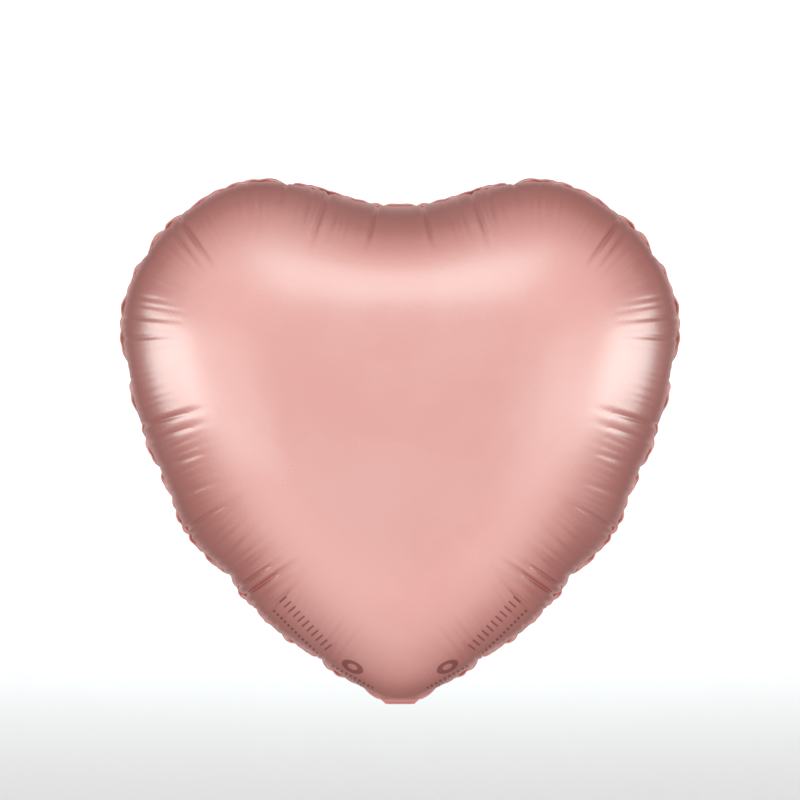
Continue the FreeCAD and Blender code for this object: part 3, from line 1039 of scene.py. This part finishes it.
foil_material = {"front_panel": foil("rose_foil_front", printed=True), "back_panel": foil("rose_foil_back")}
foils = {}
for name, tris, node in (("foil_front", film["Tf"], "front_panel"), ("foil_back", film["Tb"], "back_panel")):
    # the flange belongs to both panels: its triangles face the front as the front
    # panel's do, and are turned over for the back panel
    fl = film["Tfl"]
    e1, e2 = x[fl[:, 1]] - x[fl[:, 0]], x[fl[:, 2]] - x[fl[:, 0]]
    facing = np.cross(X0[fl[:, 1]] - X0[fl[:, 0]], X0[fl[:, 2]] - X0[fl[:, 0]])
    front_ref = np.cross(X0[film["Tf"][:, 1]] - X0[film["Tf"][:, 0]], X0[film["Tf"][:, 2]] - X0[film["Tf"][:, 0]])
    want = np.sign(np.median(front_ref)) * (1 if node == "front_panel" else -1)
    fl = np.where((np.sign(facing) == want)[:, None], fl, fl[:, ::-1])
    V, F, src, side = mirrored(x, np.vstack([tris, fl]), X0)
    used, F = used_only(V, F)
    V, src, side = V[used], src[used], side[used]
    values = [X0[src, 0] * side, X0[src, 1], deep0[src]]
    Q = F
    n = normals_of(V, Q)
    # the outside of the front panel faces -Y, of the back panel +Y
    crown = np.argmax(np.abs(V[:, 1]))
    if n[crown, 1] * V[crown, 1] < 0:
        Q = Q[:, ::-1]
    o = skin(name, V, Q, GAP / 2 * MM, (GAP / 2 + FILM) * MM,
             {"flat_x": values[0], "flat_z": values[1], "deep": values[2]})
    o.data.materials.append(foil_material[node])
    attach(o, "balloon")
    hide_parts(node)
    foils[name] = o

# the fused layer between the two films all round the seam
fl = film["Tfl"]
V, F, src, side = mirrored(x, fl, X0)
used, F = used_only(V, F)
V, src, side = V[used], src[used], side[used]
facing = np.cross((X0[src] * np.stack([side, np.ones(len(side))], 1))[F[:, 1]] - (X0[src] * np.stack([side, np.ones(len(side))], 1))[F[:, 0]],
                  (X0[src] * np.stack([side, np.ones(len(side))], 1))[F[:, 2]] - (X0[src] * np.stack([side, np.ones(len(side))], 1))[F[:, 0]])
F = np.where((facing > 0)[:, None], F, F[:, ::-1])
Q, values = F, [X0[src, 0] * side, X0[src, 1], deep0[src]]
band = skin("seam_band", V, Q, -GAP / 2 * MM * 0.96, GAP / 2 * MM * 0.96,
            {"flat_x": values[0], "flat_z": values[1], "deep": values[2]})
band.data.materials.append(foil("sealed_edge"))
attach(band, "balloon")
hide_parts("seam_weld")

# the neck, folded over under the tip: one strip of the fused films that bends with the tail
def neck_strip(name):
    d = np.array([math.sin(math.radians(105)), -math.cos(math.radians(105))])     # y, z
    path = [np.array([0.0, 1.03])]
    a, b, c = np.array([0.0, 1.0]), np.array([0.0, 0.0]), d * 1.0
    for k in range(13):
        q = k / 12
        path.append((1 - q) ** 2 * a + 2 * q * (1 - q) * b + q * q * c)
    path += [d * v for v in (1.35, 1.75, 2.2, 2.6)]
    path = np.array(path)
    tan = np.gradient(path, axis=0)
    tan /= np.linalg.norm(tan, axis=1)[:, None]
    nor = np.stack([-tan[:, 1], tan[:, 0]], 1)
    s = np.r_[0, np.cumsum(np.linalg.norm(np.diff(path, axis=0), axis=1))]
    mid = s[7]
    half_w = 7.2 + 3.3 * np.sqrt(1 - np.clip(s / (mid + 0.15), 0, 1) ** 2 * 0.999) \
        + 2.0 * np.clip((s - mid - 0.15) / 1.2, 0, 1)
    half_t = 0.5 + 0.03 * np.cos(s * 2.0)
    cols = 41
    V, F = [], []
    for p, n, w, h in zip(path, nor, half_w, half_t):
        ring = []
        for sgn in (1, -1):
            for u in np.linspace(-1, 1, cols) * sgn:
                edge = math.sqrt(max(0.0, 1 - max(0.0, (abs(u) * w - (w - 0.5)) / 0.5) ** 2))
                off = sgn * h * (0.35 + 0.65 * edge) * (1 + 0.05 * math.sin(u * 23.0 + 1.3))
                ring.append((u * w, p[0] + n[0] * off, p[1] + n[1] * off))
        V += ring
    V = np.array(V) * MM
    R = 2 * cols
    for i in range(len(path) - 1):
        for j in range(R):
            F.append((i * R + j, i * R + (j + 1) % R, (i + 1) * R + (j + 1) % R, (i + 1) * R + j))
    caps = []
    for base, turn in ((0, 1), ((len(path) - 1) * R, -1)):
        for j in range(cols - 1):
            q = (base + j, base + R - 1 - j, base + R - 2 - j, base + j + 1)
            caps.append(q if turn > 0 else q[::-1])
    quads = np.array(F + caps)
    o = mesh_object(name, V, [quads])
    me = o.data
    import bmesh
    bm = bmesh.new()
    bm.from_mesh(me)
    bmesh.ops.recalc_face_normals(bm, faces=bm.faces)
    bm.to_mesh(me)
    bm.free()
    for key, values in (("flat_x", V[:, 0] / MM), ("flat_z", -210 - V[:, 1] / MM), ("deep", np.full(len(V), -1.0))):
        at = me.attributes.new(key, "FLOAT", "POINT")
        at.data.foreach_set("value", np.asarray(values, np.float32))
    return o


neck = neck_strip("neck_foil")
neck.data.materials.append(foil("rose_foil_neck"))
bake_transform(neck)
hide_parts("neck_fold")

# the filling tail: two films sealed along their sides, crumpled a little, with the hole
TAIL_D = np.array([0.0, math.sin(math.radians(105)), -math.cos(math.radians(105))])
TAIL_N = np.array([0.0, math.cos(math.radians(105)), math.sin(math.radians(105))])


def tail_width(s):
    t = np.clip((s - 1.5) / 12.5, 0, 1)
    return 9.3 + 2.6 * t * t * (3 - 2 * t)


def tail_wave(u, s):
    """How far the tail's middle surface leaves its plane, mm."""
    k = np.clip((s - 3.0) / 14.0, 0, 1)
    return k * (0.42 * np.sin(s * 0.23 + 0.07 * u) + 0.20 * np.sin(0.41 * u + 0.31 * s + 1.0)
                + 0.10 * np.sin(0.9 * u - 0.55 * s) + 0.05 * np.sin(1.7 * s + 0.4 * u))


def tail_sheet(strip=None):
    """Points (u, s) and triangles of a tail film, or of one of its side seals."""
    top, end, step = 1.45, 49.8, 1.0
    ss = np.linspace(top, end, 49)
    if strip is None:
        left, right = -tail_width(ss), tail_width(ss)
    else:
        a, b = tail_width(ss) - 2.4, tail_width(ss) - 0.12
        left, right = (a, b) if strip > 0 else (-b, -a)
    loop = [(x_, s_) for x_, s_ in zip(left, ss)]
    n = max(2, int((right[-1] - left[-1]) / step))
    loop += [(x_, end) for x_ in np.linspace(left[-1], right[-1], n + 1)[1:-1]]
    loop += [(x_, s_) for x_, s_ in zip(right[::-1], ss[::-1])]
    n = max(2, int((right[0] - left[0]) / step))
    loop += [(x_, top) for x_ in np.linspace(right[0], left[0], n + 1)[1:-1]]
    pts = list(loop)
    edges = [(i, (i + 1) % len(loop)) for i in range(len(loop))]
    if strip is None:
        base = len(pts)
        pts += [(4.0 * math.cos(q), 33.0 + 4.0 * math.sin(q)) for q in np.linspace(0, 2 * math.pi, 41)[:-1]]
        edges += [(base + i, base + (i + 1) % 40) for i in range(40)]
    for j, s_ in enumerate(np.arange(top + step, end - 0.4, step)):
        lo, hi = np.interp(s_, ss, left), np.interp(s_, ss, right)
        for x_ in np.arange(lo + step * (0.7 + 0.5 * (j % 2)), hi - 0.5 * step, step):
            if strip is not None or math.hypot(x_, s_ - 33.0) > 4.6:
                pts.append((float(x_), float(s_)))
    P, _, T, _, _, _ = delaunay_2d_cdt([Vector(p) for p in pts], edges, [], 1, 1e-5)
    P = np.array([tuple(p) for p in P])
    T = np.array([tuple(f) for f in T])
    c = P[T].mean(1)
    area = (P[T[:, 1]] - P[T[:, 0]])[:, 0] * (P[T[:, 2]] - P[T[:, 0]])[:, 1] \
        - (P[T[:, 1]] - P[T[:, 0]])[:, 1] * (P[T[:, 2]] - P[T[:, 0]])[:, 0]
    keep = (np.abs(area) > 1e-6)
    if strip is None:
        keep &= np.hypot(c[:, 0], c[:, 1] - 33.0) > 3.95
    T = np.where((area > 0)[:, None], T, T[:, ::-1])[keep]
    return P, T


def tail_point(P, off):
    w = tail_wave(P[:, 0], P[:, 1]) + off
    return (P[:, :1] * np.array([1.0, 0, 0]) + P[:, 1:] * TAIL_D + w[:, None] * TAIL_N) * MM


tail_foil_material = foil("rose_foil_tail")
for name, off, node, strip in (("tail_foil_front", 0.31, "tail_film_front", None),
                               ("tail_foil_back", -0.31, "tail_film_back", None),
                               ("tail_seal_left", 0.0, "tail_side_welds", -1),
                               ("tail_seal_right", 0.0, "tail_side_welds", 1)):
    P, T = tail_sheet(strip)
    half = FILM / 2 if strip is None else 0.195
    o = skin(name, tail_point(P, off), T, -half * MM, half * MM,
             {"flat_x": P[:, 0], "flat_z": -210 - P[:, 1],
              "deep": np.minimum(tail_width(P[:, 1]) - np.abs(P[:, 0]) - 2.4, 8.0)})
    o.data.materials.append(tail_foil_material)
    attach(o, "tail")
    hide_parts(node)

# ---- CAD nodes that stay: inner pieces of the neck, valve and tail -----------
tail_foil = plain_film("tail_foil", (0.775, 0.412, 0.368, 1.0), 0.28)
tail_foil.node_tree.nodes["Principled BSDF"].inputs["Metallic"].default_value = 1.0
clear_film = plain_film("valve_film", (0.86, 0.86, 0.86, 1.0), 0.30)
weld_film = plain_film("valve_weld", (0.80, 0.80, 0.79, 1.0), 0.45)
coating = plain_film("release_print", (0.05, 0.07, 0.10, 1.0), 0.55)
for node, mat in (("neck_weld_front", tail_foil), ("neck_weld_back", tail_foil),
                  ("valve_collar_front", clear_film), ("valve_collar_back", clear_film),
                  ("valve_collar_welds", weld_film), ("release_coating", coating),
                  ("valve_film_front", clear_film), ("valve_film_back", clear_film),
                  ("valve_side_welds", weld_film)):
    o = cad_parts[node]
    o.data.materials.clear()
    o.data.materials.append(mat)

ROOM = 1.0

# ---- stage, light, camera ----------------------------------------------------
def stage_material(name, colour, rough):
    m, nt, sh = new_material(name)
    t = Net(nt)
    co = t.node("ShaderNodeTexCoord").outputs["Object"]
    n = t.noise(co, 3.0, 2.0)
    dim = tuple(c * 0.985 for c in colour[:3]) + (1.0,)
    t.link(t.mix(n, colour, dim), sh.inputs["Base Color"])
    sh.inputs["Roughness"].default_value = rough
    return m


def sweep(name, half, front, back, z, height, bend, mat):
    """A floor that curves up into a backdrop."""
    prof = [(front, z)]
    for k in range(13):
        a = math.pi / 2 * k / 12
        prof.append((back - bend + bend * math.sin(a), z + bend - bend * math.cos(a)))
    prof.append((back, z + height))
    V = [(sx * half, y, h) for y, h in prof for sx in (-1, 1)]
    F = [(2 * i, 2 * i + 1, 2 * i + 3, 2 * i + 2) for i in range(len(prof) - 1)]
    o = mesh_object(name, V, F)
    o.data.materials.append(mat)
    return o


floor = sweep("floor", 3.0, -3.4, 2.9, -0.16, 1.8, 0.8,
              stage_material("pale_floor", (0.80, 0.855, 0.86, 1.0), 0.75))
floor.visible_glossy = False       # the foil mirrors the lights and the room


def softbox(name, loc, target, w, h, power, colour=(1, 1, 1)):
    l = bpy.data.lights.new(name, "AREA")
    l.shape = "RECTANGLE"
    l.size, l.size_y = w, h
    l.energy = power
    l.color = colour
    o = bpy.data.objects.new(name, l)
    bpy.context.scene.collection.objects.link(o)
    o.location = loc
    o.rotation_euler = (Vector(target) - Vector(loc)).to_track_quat("-Z", "Y").to_euler()
    if colour != (1, 1, 1):
        o.visible_diffuse = False      # the tinted boxes only show as highlights in the foil
    return o


MID = (0.0, 0.0, 0.18)
COOL = (0.35, 0.96, 1.0)
softbox("key_left", (-1.62, -0.38, 0.22), MID, 0.95, 0.80, 3.1, (0.50, 0.95, 1.0))
softbox("key_right", (1.62, -0.38, 0.22), MID, 0.95, 0.80, 3.1, (0.50, 0.95, 1.0))
softbox("fill_left", (-1.25, -1.15, 0.15), MID, 0.8, 1.2, 0.7, COOL)
softbox("fill_right", (1.25, -1.15, 0.15), MID, 0.8, 1.2, 0.7, COOL)
softbox("top", (0.0, -1.20, 1.60), MID, 1.6, 0.7, 1.9, COOL)
# a light for the stage alone: the balloon doesn't mirror it
for o in (softbox("backdrop_light", (0.0, 1.75, 1.55), (0.0, 2.9, 0.35), 2.6, 0.5, 20.0),
          softbox("floor_light", (0.0, -0.6, 2.6), (0.0, 0.4, -0.16), 3.0, 2.0, 18.0)):
    o.visible_glossy = False

# the room: bright behind the camera, dimmer overhead and behind the balloon
world = bpy.data.worlds.new("studio")
bpy.context.scene.world = world
world.use_nodes = True
wt = Net(world.node_tree)
bg = world.node_tree.nodes["Background"]
way = wt.node("ShaderNodeSeparateXYZ")
wt.link(wt.node("ShaderNodeTexCoord").outputs["Generated"], way.inputs[0])
off = wt.math("ARCCOSINE", wt.math("MULTIPLY", way.outputs["Y"], -1.0, clamp=False))
# a little later going dark upwards than sideways and down
up_share = wt.math("MULTIPLY", wt.math("MAXIMUM", way.outputs["Z"], 0.0), 0.15)
down_share = wt.math("MULTIPLY", wt.math("MAXIMUM", wt.math("MULTIPLY", way.outputs["Z"], -1.0), 0.0), 0.20)
off = wt.math("SUBTRACT", wt.math("SUBTRACT", off, up_share), down_share)
ramp = wt.node("ShaderNodeValToRGB")
wt.link(wt.span(off, 0.0, math.pi, smooth=False), ramp.inputs[0])
stops = [(0, 1.0, 0.0), (30, 1.0, 0.0), (44, 1.08, 0.0), (58, 1.02, 0.0), (73, 0.76, 0.5),
         (95, 0.48, 1.0), (125, 0.38, 1.0), (152, 0.55, 0.7), (180, 0.80, 0.2)]
ramp.color_ramp.interpolation = "EASE"
while len(ramp.color_ramp.elements) < len(stops):
    ramp.color_ramp.elements.new(0.5)
for e, (deg, v, warm) in zip(ramp.color_ramp.elements, stops):
    e.position = deg / 180.0
    e.color = (v / 1.2, v / 1.2 * (1 - 0.26 * warm), v / 1.2 * (1 - 0.28 * warm), 1.0)
seen = wt.node("ShaderNodeLightPath").outputs["Is Camera Ray"]
wt.link(wt.mix(seen, ramp.outputs[0], (0.72, 0.72, 0.715, 1.0)), bg.inputs[0])
bg.inputs[1].default_value = 1.2 * ROOM

cam = bpy.data.cameras.new("camera")
cam_o = bpy.data.objects.new("camera", cam)
bpy.context.scene.collection.objects.link(cam_o)
cam.sensor_width = 36.0
cam.lens = 120.0
WIDE = 0.5314            # what the frame shows across at the seam, metres
cam_o.location = (0.0, -WIDE * cam.lens / cam.sensor_width, 0.2018)
cam_o.rotation_euler = (math.pi / 2, 0.0, 0.0)
bpy.context.scene.camera = cam_o
bpy.context.scene.view_settings.view_transform = "Standard"
